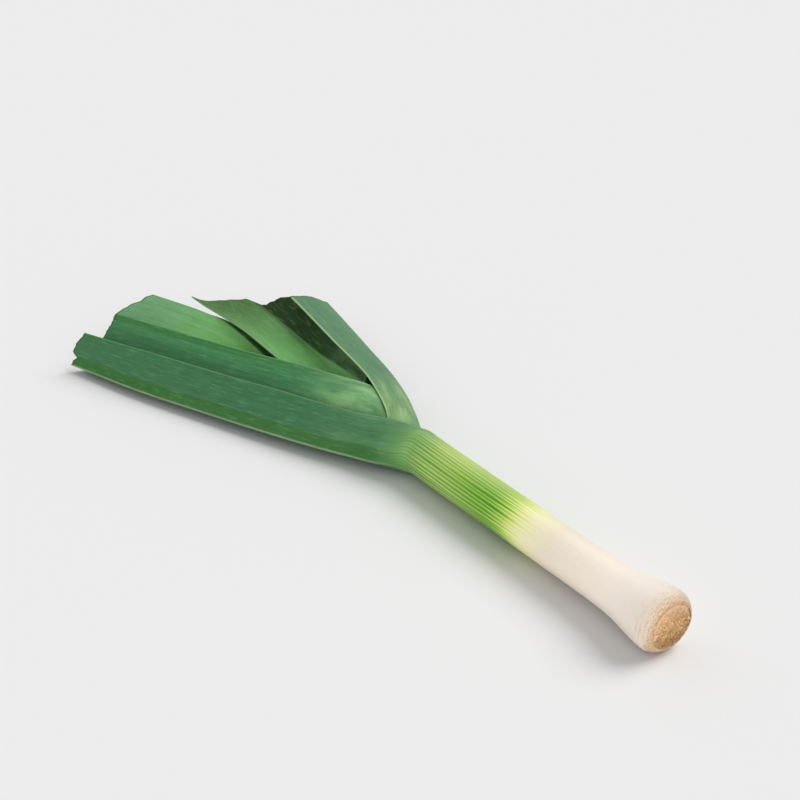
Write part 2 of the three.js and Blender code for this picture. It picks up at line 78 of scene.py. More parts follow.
# keel: degrees round the shank at which the keel lies; side: 1 for a blade to the left, -1 to the right
# stations: x, keel y z, upper margin y z, upper arch, lower margin y z, lower arch
# cut: u across, x of the cut end; pleats: u, width in u, depth
LEAVES = {
    "leaf_1_outermost": dict(
        layer=0, side=1, keel=-28.125, throat=226, columns=168, rows=130, seed=3,
        stations=[
            [228.5, 14.4, 10.5, -11.6, 25.9, 3.0, -14.8, 18.4, 2.8],
            [231, 15.6, 10.3, -9.5, 28.2, 2.85, -14.4, 13.6, 2.46],
            [236, 18.2, 9.9, -4.2, 30.9, 2.45, -11.2, 7.0, 1.8],
            [240, 20.5, 9.5, -1.8, 31.4, 2.25, -9, 4.2, 1.5],
            [250, 26.6, 8.8, 2.5, 31.5, 1.9, 0.5, 1.3, 1.05],
            [262, 32.0, 8.4, 8.5, 31.0, 1.5, 7, 1.15, 0.95],
            [275, 38.6, 8.1, 16.0, 30.6, 1.25, 11.5, 1.1, 0.8],
            [290, 45.5, 7.8, 22.8, 30.2, 1.05, 16, 1.0, 0.65],
            [325, 60.5, 7.3, 36.8, 29.2, 0.75, 31, 0.9, 0.5],
            [370, 78.0, 6.6, 56, 28.4, 0.5, 52, 0.9, 0.4],
            [425, 99.0, 6.0, 79, 27.8, 0.4, 76, 0.7, 0.32],
            [490, 118.5, 5.2, 105, 26.3, 0.35, 97, -0.4, 0.26],
        ],
        cut=[[-1, 474], [-0.4, 478], [0, 483.3], [0.12, 483], [0.26, 480.5], [0.38, 486], [0.5, 486.2],
             [0.62, 486], [0.8, 485.4], [1, 484]],
        pleats=[[0.3, 0.07, 0.5], [0.66, 0.07, 0.25], [-0.5, 0.08, 0.2]],
    ),
    "leaf_2_right_outer": dict(
        layer=1, side=-1, keel=165, throat=242, columns=144, rows=110, seed=11,
        stations=[
            [244, -13.5, 19.2, 13.25, 16.6, 2.98, 13.1, 12.6, 2.98],
            [246, -14.4, 17.9, 12.75, 21.2, 2.66, 13.0, 11.4, 2.7],
            [250, -16.6, 18.4, 10.6, 24.8, 2.28, 12.2, 9.4, 2.44],
            [256, -19.6, 19.1, 6.2, 28.4, 2.05, 10.0, 6.4, 2.25],
            [262, -22.4, 19.8, 2.2, 30.1, 1.8, 7.5, 4.2, 2.0],
            [270, -26.0, 20.4, -1.8, 31.2, 1.5, 3.5, 3.6, 1.7],
            [282, -31.0, 21.0, -6.6, 32.0, 1.25, -1, 3.2, 1.4],
            [310, -40, 21.5, -15.0, 33.8, 0.9, -11, 3.0, 0.9],
            [350, -50, 20.5, -20.8, 35.2, 0.6, -22, 2.6, 0.6],
            [395, -61, 19.0, -29, 36.0, 0.45, -33, 1.2, 0.45],
            [460, -77, 16.0, -40, 36.0, 0.35, -48, -0.7, 0.35],
        ],
        cut=[[-1, 436], [-0.5, 433], [0, 428], [0.5, 427], [1, 424]],
        pleats=[[0.45, 0.08, 0.25], [-0.45, 0.08, 0.25]],
    ),
    "leaf_3_left_inner": dict(
        layer=2, side=1, keel=-20, throat=266, columns=152, rows=115, seed=23,
        stations=[
            [268, 11.4, 13.1, -11.2, 22.2, 2.95, -11.9, 18.6, 2.9],
            [271, 12.4, 13.2, -11.8, 24.0, 2.65, -12.0, 15.4, 2.5],
            [276, 13.8, 13.6, -12.6, 26.4, 2.3, -11.4, 10.2, 2.05],
            [290, 19.5, 14.0, -13.0, 29.8, 1.75, -9.0, 7.2, 1.4],
            [302, 24.2, 14.0, -9.4, 31.0, 1.45, -8, 5.6, 1.3],
            [325, 32.8, 13.7, 1.3, 31.2, 1.05, -5, 7.0, 1.0],
            [345, 40.0, 13.5, 9.8, 31.0, 0.8, -2.2, 10.0, 0.75],
            [390, 56.0, 13.0, 31, 30.5, 0.5, 4, 19.5, 0.5],
            [415, 65.0, 12.7, 42.0, 30.2, 0.42, 7.5, 23.0, 0.44],
            [440, 74.0, 12.5, 52.7, 30.0, 0.35, 13.4, 26.0, 0.4],
            [450, 77.6, 12.4, 57.0, 30.0, 0.34, 19.1, 27.7, 0.38],
            [460, 81.3, 12.3, 61.3, 30.0, 0.33, 24.2, 29.6, 0.36],
            [500, 96.0, 12.0, 78, 30.0, 0.3, 45.5, 34.0, 0.3],
        ],
        cut=[[-1, 491], [-0.93, 494.5], [-0.85, 495.5], [-0.75, 498], [-0.65, 500], [-0.5, 500.5],
             [-0.3, 494], [0, 486.5], [0.4, 486.5], [1, 489]],
        pleats=[[0.5, 0.1, 0.3], [-0.35, 0.06, 0.25], [-0.66, 0.06, 0.4]],
    ),
    "leaf_4_right_inner": dict(
        layer=3, side=-1, keel=215, throat=290, columns=136, rows=100, seed=37,
        stations=[
            [298, -9.7, 11.9, 1.5, 29.0, 2.4, 9.4, 19.4, 2.55],
            [306, -12.0, 11.6, -11.5, 30.0, 1.6, 10.6, 19.6, 2.25],
            [318, -15.2, 11.5, -25.5, 28.8, 0.9, 12.2, 20.4, 1.8],
            [352, -20.8, 11.6, -32.0, 27.6, 0.6, 14.8, 24.2, 0.9],
            [390, -24.0, 13.0, -38, 26.5, 0.4, 14.8, 27.8, 0.5],
            [415, -26.3, 14.1, -42, 26.8, 0.37, 14.4, 29.0, 0.38],
            [440, -28.5, 15.0, -46, 27.0, 0.35, 15.6, 29.7, 0.3],
            [462, -30.2, 15.5, -49, 27.0, 0.32, 16.8, 29.0, 0.3],
            [490, -32.0, 16.0, -53, 27.0, 0.3, 13.5, 25.2, 0.3],
        ],
        cut=[[-1, 482], [-0.93, 475.5], [-0.8, 472.5], [-0.4, 472], [-0.12, 470], [0, 456], [0.1, 453],
             [0.3, 452], [0.6, 448], [1, 437]],
        pleats=[[-0.55, 0.07, 0.25], [0.5, 0.1, 0.2]],
    ),
}

# youngest leaves, rolled into a spear: x, keel y z, far edge y z, arch of both faces
HEART = dict(
    layer=4, opens=282, columns=96, rows=60,
    stations=[
        [290, 7.9, 17.9, -8.3, 17.9, 3.0],
        [302, 6.6, 18.6, -8.6, 18.4, 2.7],
        [320, 3.6, 19.4, -9.4, 19.2, 2.3],
    ],
    end=[306, 312],  # x at the keel and far edge, and half way between them
    hollow=1.2,  # depth of the end's middle
    rolled_edges=[[0.35, 0.55], [-0.55, 0.5]],  # u where a leaf's edge shows, height of its step
    step_width=0.035,  # of that step, in u
    twist=0.0012,  # how far it turns, in u for each mm
)

# root plate: x and radius from the dome's flank into the shank
PLATE = [
    [-4.9, 5.2], [-4.5, 9.4], [-3.9, 12.4], [-3.1, 14.2], [-1.6, 15.7], [0, 16.9], [2, 17.9], [4.6, 18.5],
]
PLATE_TOP = -5.1
PLATE_SEED = 5
PLATE_X = -4.0  # where its centre is read from the shank's centre line
PLATE_GRAIN = [[0.30, 0.5, 1.4], [0.20, 1.4, 3.4], [0.10, 3.4, 7.0]]  # height, frequencies per mm
GRAIN_LIMIT = 0.55

ROOTS = 300
ROOT_FIELD = 13.0  # radius of the area they stand on
GOLDEN_ANGLE = 2.39996
ROOT_RADIUS, ROOT_RADIUS_MORE = 0.34, 0.40  # of the thinnest, and what the thickest has more
ROOT_HEIGHT, ROOT_HEIGHT_MORE, ROOT_HEIGHT_ANY = 0.28, 0.8, 0.2  # the same, and what any may have more
ROOT_LEAN, ROOT_LEAN_ANY = 0.5, 0.15  # radians, at the field's edge and at random
ROOT_SIDES = 9
ROOT_DEPTH = 1.2  # of a root's foot below the plate's face
ROOT_RINGS = [[-ROOT_DEPTH, 1.1], [0.35, 1.04], [0.75, 0.95], [0.93, 0.76], [1.0, 0.42]]  # height, width


# ---------------------------------------------------------------- curves
class Curve:
    """Monotone cubic through a table's stations, one column against the first."""

    def __init__(self, table, column):
        t = np.array(table, float)
        xs, ys = t[:, 0], t[:, column]
        h = np.diff(xs)
        d = np.diff(ys) / h
        m = np.zeros(len(xs))
        m[0], m[-1] = d[0], d[-1]
        for i in range(1, len(xs) - 1):
            if d[i - 1] * d[i] > 0:
                w1, w2 = 2 * h[i] + h[i - 1], h[i] + 2 * h[i - 1]
                m[i] = (w1 + w2) / (w1 / d[i - 1] + w2 / d[i])
        self.xs, self.ys, self.m = xs, ys, m

    def __call__(self, x):
        xs, ys, m = self.xs, self.ys, self.m
        i = np.clip(np.searchsorted(xs, x, side="right") - 1, 0, len(xs) - 2)
        h = xs[i + 1] - xs[i]
        t = np.clip((x - xs[i]) / h, 0, 1)
        t2, t3 = t * t, t * t * t
        return ((2 * t3 - 3 * t2 + 1) * ys[i] + (t3 - 2 * t2 + t) * h * m[i]
                + (3 * t2 - 2 * t3) * ys[i + 1] + (t3 - t2) * h * m[i + 1])

    def at(self, x):
        return float(self(np.array(float(x))))


centre_y, centre_z = Curve(CENTRE_LINE, 1), Curve(CENTRE_LINE, 2)
shank_radius = Curve(SHANK_RADIUS, 1)
plate_face = Curve([[0, PLATE_TOP]] + [[r, x] for x, r in PLATE], 1)

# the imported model's frame: the outer leaf starts at its base, the plate's centre is the shank's centre
plate_lo, plate_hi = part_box("root_plate")
leaf_lo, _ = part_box("leaf_1_outermost")
SHIFT = np.array([
    OUTER_BASE - leaf_lo.x * 1000, centre_y.at(PLATE_X) - (plate_lo.y + plate_hi.y) * 500, 0.0])


def unit(v):
    return v / np.maximum(np.linalg.norm(v, axis=-1, keepdims=True), 1e-9)


def normal_of(a, side):
    return np.stack([-a[..., 1] * side, a[..., 0] * side], -1)


def arc(p, q, phi, side, s):
    """Point at fraction s of the arc from p to q that turns by phi, bulging to one side."""
    turn = np.maximum(phi, LEAST_TURN)[..., None]
    v = q - p
    length = np.linalg.norm(v, axis=-1, keepdims=True)
    a = unit(v)
    n = normal_of(a, side)
    r = length / (2 * np.sin(turn / 2))
    s = s[..., None]
    along = r * (np.sin(turn / 2) - np.sin(turn / 2 - turn * s))
    out = r * (np.cos(turn / 2 - turn * s) - np.cos(turn / 2))
    return p + a * along + n * out


def arc_ends(p, q, phi, side):
    """Direction of that arc as it leaves p, and its outward normal at q."""
    a = unit(q - p)
    n = normal_of(a, side)
    c, k = np.cos(phi / 2)[..., None], np.sin(phi / 2)[..., None]
    return a * c + n * k, n * c + a * k


def smooth(x, lo, hi):
    t = np.clip((x - lo) / (hi - lo), 0, 1)
    return t * t * (3 - 2 * t)


def waves(rng, count, low, high):
    """A smooth random function of two numbers, about -1 to 1, of waves with frequencies low to high."""
    k = rng.uniform(low, high, (count, 2)) * rng.choice([-1, 1], (count, 2))
    ph = rng.uniform(0, 2 * math.pi, count)

    def f(a, b):
        total = 0.0
        for (ka, kb), p in zip(k, ph):
            total = total + np.sin(ka * a + kb * b + p)
        return total / math.sqrt(count) * 0.8  # few sums then pass 1

    return f


# ---------------------------------------------------------------- meshes
def new_object(name, verts, faces, attributes):
    """verts in mm in the leek's frame; attributes as name: (n, 3)"""
    mesh = bpy.data.meshes.new(name)
    co = (np.asarray(verts, float) - SHIFT) / 1000
    mesh.from_pydata(co.tolist(), [], [list(map(int, f)) for f in faces])
    mesh.update()
    mesh.polygons.foreach_set("use_smooth", [True] * len(mesh.polygons))
    for key, values in attributes.items():
        layer = mesh.attributes.new(key, "FLOAT_VECTOR", "POINT")
        layer.data.foreach_set("vector", np.asarray(values, np.float32).ravel())
    obj = bpy.data.objects.new(name, mesh)
    scene.collection.objects.link(obj)
    return obj


def outward(mesh):
    """Turns every face if the closed mesh is inside out."""
    mesh.calc_loop_triangles()
    co = np.zeros(len(mesh.vertices) * 3)
    mesh.vertices.foreach_get("co", co)
    tri = np.zeros(len(mesh.loop_triangles) * 3, int)
    mesh.loop_triangles.foreach_get("vertices", tri)
    a, b, c = co.reshape(-1, 3)[tri.reshape(-1, 3).T]
    if np.sum(a * np.cross(b, c)) < 0:
        mesh.flip_normals()


def stand_for(name, verts, faces, co, rim):
    """The fine leaf that stands for a packed one. Its thin walls shade smoothly up to sharp rims."""
    obj = new_object(name + "_fine", verts, faces, {"leaf_co": co, "leaf_rim": rim})
    outward(obj.data)
    obj.data.set_sharp_from_angle(angle=math.radians(50))
    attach(obj, "root")
    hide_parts(name)
    return obj


def sheath_radius(layer, x):
    return shank_radius(x) - LAYER_PITCH * layer


def half_girth(layer, x):
    """mm from the keel to the seam, round a sheath at x."""
    return math.pi * float(sheath_radius(layer, np.array(x)))


def quads(a, b, c, d):
    return np.stack([a.ravel(), b.ravel(), c.ravel(), d.ravel()], 1).tolist()


# ---------------------------------------------------------------- leaves
# heights of a blade's relief, and of the outermost leaf's skin, mm
SLOW_WAVE, FINE_WAVE, MARGIN_WAVE, END_WAVE, FRAY = 0.22, 0.10, 0.35, 0.35, 0.45
WRINKLE, BASE_WRINKLE, RIB, RIM_DEPTH, RIM_WAVE = 0.07, 0.05, 0.035, 0.25, 0.35


def ring_at(leaf, x):
    """Keel and seam points of a sheath at x."""
    angle = math.radians(leaf["keel"])
    toward = np.array([math.cos(angle), math.sin(angle)])
    c = np.stack([centre_y(x), centre_z(x)], -1)
    r = sheath_radius(leaf["layer"], x)[..., None]
    return c + r * toward, c - r * toward


def keel_and_margins(leaf, x):
    """Keel, upper margin and its arch, lower margin and its arch at x: a ring up to the throat."""
    throat = leaf["throat"]
    keel0, seam0 = ring_at(leaf, np.array([float(throat)]))
    table = [[throat, *keel0[0], *seam0[0], math.pi, *seam0[0], math.pi]] + leaf["stations"]
    cols = [Curve(table, j)(np.maximum(x, throat)) for j in range(1, 9)]
    ring_keel, ring_seam = ring_at(leaf, np.minimum(x, throat))
    closed = x <= throat

    def point(ring, first):
        return np.where(closed[..., None], ring, np.stack(cols[first:first + 2], -1))

    def arch(column):
        return np.where(closed, math.pi, cols[column])

    return point(ring_keel, 0), point(ring_seam, 2), arch(4), point(ring_seam, 5), arch(7)


def section(leaf, x, u):
    """Outer and inner points (y, z) of a leaf at x (mm along) and u (-1 to 1 across)."""
    keel, up, turn_up, down, turn_down = keel_and_margins(leaf, x)
    side = leaf["side"]
    upper, s = (u >= 0)[..., None], np.abs(u)
    outer = np.where(upper, arc(keel, up, turn_up, -side, s), arc(keel, down, turn_down, side, s))

    # the inner face starts from a crease inside the keel, half way between the two flanks' directions
    tu, nu = arc_ends(keel, up, turn_up, -side)
    td, nd = arc_ends(keel, down, turn_down, side)
    d = tu - td
    half = np.maximum(np.linalg.norm(d, axis=-1) / 2, LEAST_SPREAD)
    b = unit(np.stack([-d[..., 1], d[..., 0]], -1))
    to_margins = (up + down) / 2 - keel
    b = np.where((np.sum(b * to_margins, -1) < 0)[..., None], -b, b)
    crease = keel + b * np.minimum(SHEATH_WALL / half, KEEL_INSET)[..., None]
    thin = np.clip((x - leaf["throat"]) / THINNING, 0, 1)
    wall = (SHEATH_WALL + (MARGIN_WALL - SHEATH_WALL) * thin)[..., None]
    inner = np.where(upper, arc(crease, up - nu * wall, turn_up, -side, s),
                     arc(crease, down - nd * wall, turn_down, side, s))
    return outer, inner


def leaf_push(leaf, x, u, cut_x):
    """How far both faces move outwards: pleats, slow and fine undulation, waved margins, uneven end."""
    rng = np.random.default_rng(leaf["seed"])
    slow, fine = waves(rng, 5, 0.6, 1.0), waves(rng, 5, 0.7, 1.3)
    rim, end = waves(rng, 4, 0.5, 1.2), waves(rng, 3, 0.6, 1.2)
    throat = leaf["throat"]
    fade = np.clip((x - throat - 20) / 60, 0, 1)
    pleats = sum(depth * np.exp(-(((u - centre) / width) ** 2)) * fade
                 for centre, width, depth in leaf["pleats"])
    return (pleats
            + SLOW_WAVE * slow(u * 5, x / 26) * smooth(x, throat + 25, throat + 90)
            + FINE_WAVE * fine(u * 17, x / 60) * smooth(x, throat + 10, throat + 60)
            + MARGIN_WAVE * rim(np.sign(u) * 3, x / 13) * np.abs(u) ** 6
            * smooth(x, throat + 40, throat + 100)
            + END_WAVE * end(u * 9, x / 40) * smooth(x, cut_x - 25, cut_x))


def add_skin(push, x, u, throat, rng):
    """The outermost leaf's wrinkles on the bulb, fine ribs, and uneven rim round the root plate."""
    a = u * math.pi
    w1, w2 = waves(rng, 7, 5, 13), waves(rng, 5, 14, 26)
    ribs, rim = waves(rng, 6, 16, 30), waves(rng, 4, 1, 4)
    bulb, base = smooth(-x, -46, -6), smooth(-x, -9, 2)
    push = push + WRINKLE * w1(a, x / 60) * bulb + BASE_WRINKLE * w2(a, x / 40) * base
    push = push + RIB * ribs(a, x / 90) * smooth(x, 0, 30) * (1 - smooth(x, throat - 5, throat + 20))
    drawn_back = (1 - smooth(x, OUTER_BASE, RIM_END)) * (RIM_DEPTH + RIM_WAVE * rim(a, 0 * a))
    return push, x + np.where(x < RIM_END, drawn_back, 0)


def leaf_grid(leaf, rng):
    """x and u of every point, x of the frayed cut at each u, and the number of rows in the sheath."""
    n, rows = (leaf[key] for key in ("columns", "rows"))
    throat = float(leaf["throat"])
    u = -1 + 2 * np.arange(n + 1) / n
    fray = waves(rng, 7, 6, 40)
    cut = np.interp(u, *zip(*leaf["cut"])) + FRAY * fray(u, u * 0.37)
    if leaf["layer"] == 0:
        sheath = np.concatenate([
            np.linspace(OUTER_BASE, 6, 13), np.linspace(7, 60, 40), np.linspace(62.5, throat, 60)])
    else:
        sheath = np.array(INNER_STATIONS + [120, 190] + [throat - back for back in (34, 22, 13, 7, 3, 0)])
    t = np.linspace(0, 1, rows + 1)[1:]
    t = t + 0.55 * (t ** 2 - t) * (1 - t)  # finer just past the throat
    x = np.concatenate([np.repeat(sheath[:, None], n + 1, 1), throat + (cut - throat) * t[:, None]])
    return x, np.repeat(u[None], len(x), 0), cut, len(sheath)


def from_margin(outer, closed):
    """mm across from the nearest free margin. The margins start at the throat."""
    step = np.linalg.norm(np.diff(outer[closed:], axis=1), axis=-1)
    from_low = np.concatenate([np.zeros((len(step), 1)), np.cumsum(step, 1)], 1)
    margin = np.full(outer.shape[:2], NO_MARGIN)
    margin[closed:] = np.minimum(from_low, from_low[:, -1:] - from_low)
    return margin


def numbers(rows, closed, n):
    """Vertex numbers of both faces. In the closed rows the last column is the first one again."""
    width = np.where(np.arange(rows) < closed, n, n + 1)
    first = np.cumsum(2 * width) - 2 * width
    outer = first[:, None] + np.arange(n + 1)
    inner = outer + width[:, None]
    outer[:closed, n], inner[:closed, n] = outer[:closed, 0], inner[:closed, 0]
    return outer, inner


def by_number(closed, outer, inner):
    """Values of both faces' points in the order of their numbers."""
    rows = []
    for j, pair in enumerate(zip(outer, inner)):
        rows += [face[:-1] if j < closed else face for face in pair]
    return np.concatenate(rows)


def leaf_faces(o, i, closed):
    """Outer and inner face, base, cut end, two margins, and four triangles where the sheath opens."""
    k = closed - 1
    return [
        *quads(o[:-1, :-1], o[:-1, 1:], o[1:, 1:], o[1:, :-1]),
        *quads(i[:-1, 1:], i[:-1, :-1], i[1:, :-1], i[1:, 1:]),
        *quads(o[0, 1:], o[0, :-1], i[0, :-1], i[0, 1:]),
        *quads(o[-1, :-1], o[-1, 1:], i[-1, 1:], i[-1, :-1]),
        *quads(o[closed:-1, 0], o[closed + 1:, 0], i[closed + 1:, 0], i[closed:-1, 0]),
        *quads(i[closed:-1, -1], i[closed + 1:, -1], o[closed + 1:, -1], o[closed:-1, -1]),
        [o[k, 0], o[closed, 0], i[closed, 0]],
        [o[k, 0], i[closed, 0], i[k, 0]],
        [o[k, 0], i[closed, -1], o[closed, -1]],
        [o[k, 0], i[k, 0], i[closed, -1]],
    ]


def leaf_object(name):
    leaf = LEAVES[name]
    rng = np.random.default_rng(leaf["seed"] + 100)
    x, u, cut, closed = leaf_grid(leaf, rng)
    outer, inner = section(leaf, x, u)
    push = leaf_push(leaf, x, u, cut)
    if leaf["layer"] == 0:
        push, x = add_skin(push, x, u, leaf["throat"], rng)
    out = unit(outer - inner) * push[..., None]
    outer, inner = outer + out, inner + out
    outer[..., 1] = np.maximum(outer[..., 1], 0.0)
    inner[..., 1] = np.maximum(inner[..., 1], INNER_FACE_HEIGHT)

    # mm across from the keel, as they are at the throat, so that veins run along the leaf
    across = u * half_girth(leaf["layer"], float(leaf["throat"]))
    points = [np.concatenate([x[..., None], face], -1) for face in (outer, inner)]
    co = [np.stack([across, x, np.full(x.shape, which)], -1) for which in (0.0, 1.0)]
    rim = np.stack([from_margin(outer, closed), cut - x, u], -1)
    o, i = numbers(len(x), closed, len(cut) - 1)
    return stand_for(name, by_number(closed, *points), leaf_faces(o, i, closed),
                     by_number(closed, *co), by_number(closed, rim, rim))


# ---------------------------------------------------------------- heart
def heart_ring(x):
    """Keel y z, far edge y z and arch of the closed sheath at x."""
    y, z, r = centre_y(x), centre_z(x), sheath_radius(HEART["layer"], x)
    return [y + r, z, y - r, z, math.pi + 0 * x]


def heart_section(x, u):
    """Points (y, z) of the spear, with lengthwise steps that run out of the roll at its leaves' edges."""
    x0 = float(HEART["opens"])
    table = [[x0, *(float(v) for v in heart_ring(np.array(x0)))]] + HEART["stations"]
    cols = [np.where(x <= x0, ring, Curve(table, j)(np.maximum(x, x0)))
            for j, ring in enumerate(heart_ring(x), 1)]
    keel, far, turn = np.stack(cols[:2], -1), np.stack(cols[2:4], -1), cols[4]
    s = np.abs(u)
    p = np.where((u >= 0)[..., None], arc(keel, far, turn, -1, s), arc(keel, far, turn, 1, s))
    step = np.zeros(x.shape)
    for centre, height in HEART["rolled_edges"]:
        dist = u - centre - HEART["twist"] * (x - x0)
        step = step - height * np.exp(-((dist / HEART["step_width"]) ** 2))
        # beyond its edge the leaf stands a little proud
        step = step + 0.25 * height * smooth(dist, 0.0, 0.12) * (1 - smooth(dist, 0.12, 0.5))
    return p + unit(p - (keel + far) / 2) * (step * smooth(x, x0 + 4, x0 + 20))[..., None]


def heart_object():
    n = HEART["columns"]
    x0 = float(HEART["opens"])
    u = -1 + 2 * np.arange(n) / n
    edge, middle = HEART["end"]
    end = edge + (middle - edge) * (1 - np.abs(np.abs(u) * 2 - 1))
    sheath = np.array(INNER_STATIONS + [130, 220, 255, 270, 278, x0])
    t = np.linspace(0, 1, HEART["rows"] + 1)[1:]
    x = np.concatenate([np.repeat(sheath[:, None], n, 1), x0 + (end - x0) * t[:, None]])
    u = np.repeat(u[None], len(x), 0)

    verts = np.concatenate([x[..., None], heart_section(x, u)], -1).reshape(-1, 3)
    co = np.stack([u * half_girth(HEART["layer"], x0), x, np.zeros(x.shape)], -1).reshape(-1, 3)
    rim = np.stack([np.full(x.shape, NO_MARGIN), end - x, u], -1).reshape(-1, 3)
    here = np.arange(x.size).reshape(x.shape)
    beside = np.roll(here, -1, 1)
    faces = quads(here[:-1], beside[:-1], beside[1:], here[1:])

    # both ends close on a middle point, the far one as a hollow
    ends = [verts[here[0]].mean(0), verts[here[-1]].mean(0) - [HEART["hollow"], 0, 0]]
    faces += [[x.size, b, a] for a, b in zip(here[0], beside[0])]
    faces += [[x.size + 1, a, b] for a, b in zip(here[-1], beside[-1])]
    return stand_for("heart_leaf", np.concatenate([verts, ends]), faces,
                     np.concatenate([co, [[0, c[0], 0.5] for c in ends]]),
                     np.concatenate([rim, [[NO_MARGIN, 0, 0]] * 2]))


# ---------------------------------------------------------------- root plate
def plate_dome(cy, cz, rng):
    """Domed face, granular but for its rim, closed by a flat back inside the shank."""
    segs = 180
    radii = np.concatenate([np.linspace(0.4, 14.4, 52), [15.1, 15.7, 16.3, 16.9, 17.9, 18.5]])
    angle = 2 * math.pi * np.arange(segs) / segs
    grains = [(height, waves(rng, 9, low, high)) for height, low, high in PLATE_GRAIN]
    r = np.repeat(radii[:, None], segs, 1)
    y, z = r * np.cos(angle), r * np.sin(angle)
    g = sum(height * grain(y, z) for height, grain in grains)
    x = plate_face(r) + np.clip(g, -GRAIN_LIMIT, GRAIN_LIMIT) * (1 - smooth(r, 13.6, 15.0))
    verts = [[PLATE_TOP, cy, cz], *np.stack([x, cy + y, cz + z], -1).reshape(-1, 3), [PLATE[-1][0], cy, cz]]
    info = [[0, 0, 0], *np.stack([r, g, 0 * g], -1).reshape(-1, 3), [0, 0, 0]]

    def at(ring, k):
        return 1 + ring * segs + k % segs

    last, back = len(radii) - 1, len(verts) - 1
    faces = []
    for k in range(segs):
        faces.append([0, at(0, k + 1), at(0, k)])
        for j in range(last):
            faces.append([at(j, k + 1), at(j + 1, k + 1), at(j + 1, k), at(j, k)])
        faces.append([back, at(last, k), at(last, k + 1)])
    return verts, info, faces


def root_end(foot, rho, turn, radius, height, lean, tone, wobble, first):
    """A trimmed root, a short peg of uneven section that leans outwards. Its points count from first."""
    axis = np.array([-math.cos(lean), math.sin(lean) * math.cos(turn), math.sin(lean) * math.sin(turn)])
    a = np.cross(axis, [0.3, 0.8, -0.5])
    a /= np.linalg.norm(a)
    b = np.cross(axis, a)
    verts, info = [], []
    for h, width in ROOT_RINGS:
        up = h * height if h > 0 else h
        for k in range(ROOT_SIDES):
            t = 2 * math.pi * k / ROOT_SIDES
            across = (a * math.cos(t) + b * math.sin(t)) * radius * width * wobble[k]
            verts.append(foot + axis * up + across)
            info.append([rho, max(h, 0), tone])
    verts += [foot + axis * height * 0.96, foot - axis * ROOT_DEPTH]
    info += [[rho, 1.2, tone], [rho, 0, tone]]

    faces = []
    around = [(k, (k + 1) % ROOT_SIDES) for k in range(ROOT_SIDES)]
    last = (len(ROOT_RINGS) - 1) * ROOT_SIDES
    top, bottom = last + ROOT_SIDES, last + ROOT_SIDES + 1
    for ring in range(0, last, ROOT_SIDES):
        faces += [[ring + k, ring + q, ring + ROOT_SIDES + q, ring + ROOT_SIDES + k] for k, q in around]
    for k, q in around:
        faces += [[last + k, last + q, top], [q, k, bottom]]
    return verts, info, [[first + v for v in f] for f in faces]


def plate_object():
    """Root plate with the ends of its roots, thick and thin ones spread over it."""
    rng = np.random.default_rng(PLATE_SEED)
    cy, cz = centre_y.at(PLATE_X), centre_z.at(PLATE_X)
    verts, info, faces = plate_dome(cy, cz, rng)
    for i in range(ROOTS):
        rho = ROOT_FIELD * math.sqrt((i + 0.5) / ROOTS) * (0.97 + 0.06 * rng.random())
        turn = i * GOLDEN_ANGLE + 0.6 * rng.random()
        big = rng.random() ** 2
        height = ROOT_HEIGHT + ROOT_HEIGHT_MORE * big * rng.random() + ROOT_HEIGHT_ANY * rng.random()
        lean = rho / ROOT_FIELD * ROOT_LEAN + ROOT_LEAN_ANY * rng.standard_normal()
        tone = rng.random()
        wobble = 1 + 0.14 * rng.standard_normal(ROOT_SIDES)
        foot = np.array([plate_face.at(rho), cy + rho * math.cos(turn), cz + rho * math.sin(turn)])
        radius = ROOT_RADIUS + ROOT_RADIUS_MORE * big
        parts = root_end(foot, rho, turn, radius, height, lean, tone, wobble, len(verts))
        for whole, part in zip((verts, info, faces), parts):
            whole += part
    obj = new_object("root_plate_fine", verts, faces, {"root_co": info})
    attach(obj, "root")
    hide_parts("root_plate")
    return obj


# ---------------------------------------------------------------- materials
def srgb(r, g, b):
    def lin(c):
        c /= 255
        return c / 12.92 if c <= 0.04045 else ((c + 0.055) / 1.055) ** 2.4

    return (lin(r), lin(g), lin(b), 1.0)


